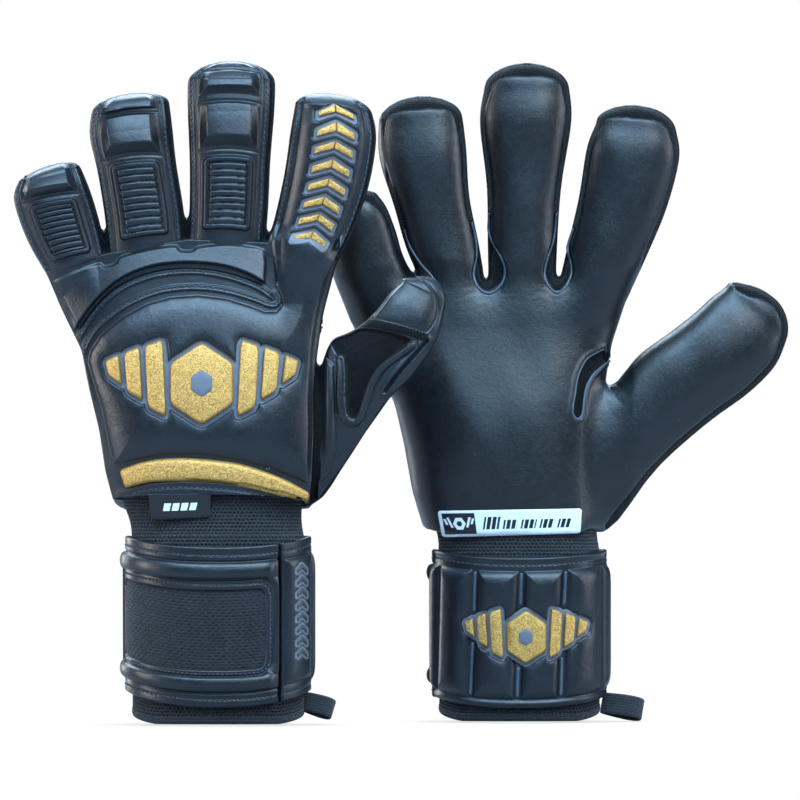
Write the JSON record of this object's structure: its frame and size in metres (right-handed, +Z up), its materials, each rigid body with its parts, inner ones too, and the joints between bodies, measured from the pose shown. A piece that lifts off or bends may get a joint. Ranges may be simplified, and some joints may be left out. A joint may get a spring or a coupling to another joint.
{
  "type": "goalkeeper gloves",
  "caption": "Pair of padded goalkeeper gloves with roll-finger latex palms, embossed backs, bending fingers, knitted sleeves, wrist straps and pull loops.",
  "frame": {"origin": "centre of the bounding box in plan, on the level the cuff hems stand on", "axes": "+Z up from cuff to fingertips, +X from the left glove to the right glove, +Y towards the palm side of the left glove and the back side of the right glove"},
  "size_m": [0.328, 0.1134, 0.2791],
  "materials": {
    "palm_latex": "smooth soft foam latex, satin",
    "back_latex": "embossed latex over foam padding, satin with a blue-black sheen",
    "rib_knit": "black ribbed elastic knit",
    "strap_mesh": "black elastic weave with small holes",
    "air_mesh": "black open spacer mesh",
    "webbing": "black woven webbing",
    "hook_tape": "black nylon hook tape",
    "gold_print": "raised gold print with fine metallic flake",
    "slate_print": "recessed blue-grey outline print",
    "white_label": "white rubberised label with dark print",
    "thread": "black sewing thread"
  },
  "bodies": {
    "left_cuff": {"left_knit_sleeve": "rib_knit", "left_cuff_pad": "palm_latex", "left_wrist_strap": "back_latex", "left_strap_window": "strap_mesh", "left_hook_patch": "hook_tape"},
    "left_tab": {"left_strap_tab": "back_latex"},
    "left_loop": {"left_pull_loop": "webbing"},
    "left_hand": {"left_palm_panel": "palm_latex", "left_backhand_panel": "back_latex", "left_knuckle_pad": "back_latex", "left_thumb_web_gusset": "air_mesh", "left_thumb_base": "palm_latex"},
    "left_thumb": {"left_thumb_roll": "palm_latex", "left_thumb_back": "back_latex"},
    "left_index_base": {"left_index_roll_base": "palm_latex", "left_index_back_base": "back_latex"},
    "left_index_tip": {"left_index_roll_tip": "palm_latex", "left_index_back_tip": "back_latex"},
    "left_middle_base": {"left_middle_roll_base": "palm_latex", "left_middle_back_base": "back_latex"},
    "left_middle_tip": {"left_middle_roll_tip": "palm_latex", "left_middle_back_tip": "back_latex"},
    "left_ring_base": {"left_ring_roll_base": "palm_latex", "left_ring_back_base": "back_latex"},
    "left_ring_tip": {"left_ring_roll_tip": "palm_latex", "left_ring_back_tip": "back_latex"},
    "left_pinky_base": {"left_pinky_roll_base": "palm_latex", "left_pinky_back_base": "back_latex"},
    "left_pinky_tip": {"left_pinky_roll_tip": "palm_latex", "left_pinky_back_tip": "back_latex"},
    "right_cuff": {"right_knit_sleeve": "rib_knit", "right_cuff_pad": "palm_latex", "right_wrist_strap": "back_latex", "right_strap_window": "strap_mesh", "right_hook_patch": "hook_tape"},
    "right_tab": {"right_strap_tab": "back_latex"},
    "right_loop": {"right_pull_loop": "webbing"},
    "right_hand": {"right_palm_panel": "palm_latex", "right_backhand_panel": "back_latex", "right_knuckle_pad": "back_latex", "right_thumb_web_gusset": "air_mesh", "right_thumb_base": "palm_latex"},
    "right_thumb": {"right_thumb_roll": "palm_latex", "right_thumb_back": "back_latex"},
    "right_index_base": {"right_index_roll_base": "palm_latex", "right_index_back_base": "back_latex"},
    "right_index_tip": {"right_index_roll_tip": "palm_latex", "right_index_back_tip": "back_latex"},
    "right_middle_base": {"right_middle_roll_base": "palm_latex", "right_middle_back_base": "back_latex"},
    "right_middle_tip": {"right_middle_roll_tip": "palm_latex", "right_middle_back_tip": "back_latex"},
    "right_ring_base": {"right_ring_roll_base": "palm_latex", "right_ring_back_base": "back_latex"},
    "right_ring_tip": {"right_ring_roll_tip": "palm_latex", "right_ring_back_tip": "back_latex"},
    "right_pinky_base": {"right_pinky_roll_base": "palm_latex", "right_pinky_back_base": "back_latex"},
    "right_pinky_tip": {"right_pinky_roll_tip": "palm_latex", "right_pinky_back_tip": "back_latex"}
  },
  "joints": [
    {"name": "left_wrist_flex", "type": "hinge", "parent": "left_cuff", "child": "left_hand", "pos_m": [-0.07761, -0.02775, 0.083], "axis": [-1, 0, 0], "range_deg": [-25, 5], "stiffness_Nm_per_rad": 2},
    {"name": "left_index_knuckle", "type": "hinge", "parent": "left_hand", "child": "left_index_base", "pos_m": [-0.04176, -0.02775, 0.19995], "axis": [-0.9656, 0, 0.2599], "range_deg": [-10, 30], "stiffness_Nm_per_rad": 0.3},
    {"name": "left_index_middle", "type": "hinge", "parent": "left_index_base", "child": "left_index_tip", "pos_m": [-0.03156, -0.02775, 0.23115], "axis": [-0.9902, 0, 0.1399], "range_deg": [0, 45], "stiffness_Nm_per_rad": 0.25},
    {"name": "left_middle_knuckle", "type": "hinge", "parent": "left_hand", "child": "left_middle_base", "pos_m": [-0.07396, -0.02775, 0.20465], "axis": [-0.9992, 0, 0.0397], "range_deg": [-10, 30], "stiffness_Nm_per_rad": 0.3},
    {"name": "left_middle_middle", "type": "hinge", "parent": "left_middle_base", "child": "left_middle_tip", "pos_m": [-0.07266, -0.02775, 0.23855], "axis": [-0.9999, 0, 0.0146], "range_deg": [0, 45], "stiffness_Nm_per_rad": 0.25},
    {"name": "left_ring_knuckle", "type": "hinge", "parent": "left_hand", "child": "left_ring_base", "pos_m": [-0.10766, -0.02775, 0.20255], "axis": [-0.9865, 0, -0.1639], "range_deg": [-10, 30], "stiffness_Nm_per_rad": 0.3},
    {"name": "left_ring_middle", "type": "hinge", "parent": "left_ring_base", "child": "left_ring_tip", "pos_m": [-0.11211, -0.02775, 0.2354], "axis": [-0.9949, 0, -0.1013], "range_deg": [0, 45], "stiffness_Nm_per_rad": 0.25},
    {"name": "left_pinky_knuckle", "type": "hinge", "parent": "left_hand", "child": "left_pinky_base", "pos_m": [-0.13816, -0.02775, 0.1955], "axis": [-0.9607, 0, -0.2776], "range_deg": [-10, 30], "stiffness_Nm_per_rad": 0.3},
    {"name": "left_pinky_middle", "type": "hinge", "parent": "left_pinky_base", "child": "left_pinky_tip", "pos_m": [-0.14621, -0.02775, 0.21735], "axis": [-0.9814, 0, -0.192], "range_deg": [0, 45], "stiffness_Nm_per_rad": 0.25},
    {"name": "left_thumb_bend", "type": "hinge", "parent": "left_hand", "child": "left_thumb", "pos_m": [-0.01416, -0.02775, 0.1504], "axis": [-0.3809, 0, 0.9246], "range_deg": [0, 30], "stiffness_Nm_per_rad": 0.3},
    {"name": "left_strap_tab_open", "type": "hinge", "parent": "left_cuff", "child": "left_tab", "pos_m": [-0.03676, -0.02995, 0.045], "axis": [0, 0, 1], "range_deg": [0, 100], "stiffness_Nm_per_rad": 0.05},
    {"name": "left_pull_loop_swing", "type": "hinge", "parent": "left_cuff", "child": "left_loop", "pos_m": [-0.03971, -0.02775, 0.0088], "axis": [0, 1, 0], "range_deg": [-15, 50], "stiffness_Nm_per_rad": 0.02},
    {"name": "right_wrist_flex", "type": "hinge", "parent": "right_cuff", "child": "right_hand", "pos_m": [0.05049, 0.02825, 0.076], "axis": [1, 0, 0], "range_deg": [-25, 5], "stiffness_Nm_per_rad": 2},
    {"name": "right_index_knuckle", "type": "hinge", "parent": "right_hand", "child": "right_index_base", "pos_m": [0.08179, 0.02825, 0.1824], "axis": [0.9936, 0, -0.1126], "range_deg": [-10, 30], "stiffness_Nm_per_rad": 0.3},
    {"name": "right_index_middle", "type": "hinge", "parent": "right_index_base", "child": "right_index_tip", "pos_m": [0.09484, 0.02825, 0.22175], "axis": [0.9958, 0, -0.0915], "range_deg": [0, 45], "stiffness_Nm_per_rad": 0.25},
    {"name": "right_middle_knuckle", "type": "hinge", "parent": "right_hand", "child": "right_middle_base", "pos_m": [0.05164, 0.02825, 0.183], "axis": [0.9971, 0, 0.0764], "range_deg": [-10, 30], "stiffness_Nm_per_rad": 0.3},
    {"name": "right_middle_middle", "type": "hinge", "parent": "right_middle_base", "child": "right_middle_tip", "pos_m": [0.05244, 0.02825, 0.229], "axis": [1, 0, 0], "range_deg": [0, 45], "stiffness_Nm_per_rad": 0.25},
    {"name": "right_ring_knuckle", "type": "hinge", "parent": "right_hand", "child": "right_ring_base", "pos_m": [0.02314, 0.02825, 0.1834], "axis": [0.9937, 0, -0.1125], "range_deg": [-10, 30], "stiffness_Nm_per_rad": 0.3},
    {"name": "right_ring_middle", "type": "hinge", "parent": "right_ring_base", "child": "right_ring_tip", "pos_m": [0.01289, 0.02825, 0.2222], "axis": [0.9946, 0, 0.1037], "range_deg": [0, 45], "stiffness_Nm_per_rad": 0.25},
    {"name": "right_pinky_knuckle", "type": "hinge", "parent": "right_hand", "child": "right_pinky_base", "pos_m": [-0.00766, 0.02825, 0.18085], "axis": [0.9768, 0, 0.2141], "range_deg": [-10, 30], "stiffness_Nm_per_rad": 0.3},
    {"name": "right_pinky_middle", "type": "hinge", "parent": "right_pinky_base", "child": "right_pinky_tip", "pos_m": [-0.01726, 0.02825, 0.2072], "axis": [0.9848, 0, 0.1736], "range_deg": [0, 45], "stiffness_Nm_per_rad": 0.25},
    {"name": "right_thumb_bend", "type": "hinge", "parent": "right_hand", "child": "right_thumb", "pos_m": [0.12224, 0.02825, 0.14595], "axis": [0.3979, 0, -0.9174], "range_deg": [0, 30], "stiffness_Nm_per_rad": 0.3},
    {"name": "right_strap_tab_open", "type": "hinge", "parent": "right_cuff", "child": "right_tab", "pos_m": [0.08934, 0.03045, 0.045], "axis": [0, 0, -1], "range_deg": [0, 100], "stiffness_Nm_per_rad": 0.05},
    {"name": "right_pull_loop_swing", "type": "hinge", "parent": "right_cuff", "child": "right_loop", "pos_m": [0.08609, 0.02825, 0.0074], "axis": [0, 1, 0], "range_deg": [-15, 50], "stiffness_Nm_per_rad": 0.02},
    {"name": "pair_separation", "type": "slide", "parent": "left_cuff", "child": "right_cuff", "axis": [1, 0, 0], "range_m": [0, 0.15], "stiffness_N_per_m": 60}
  ]
}
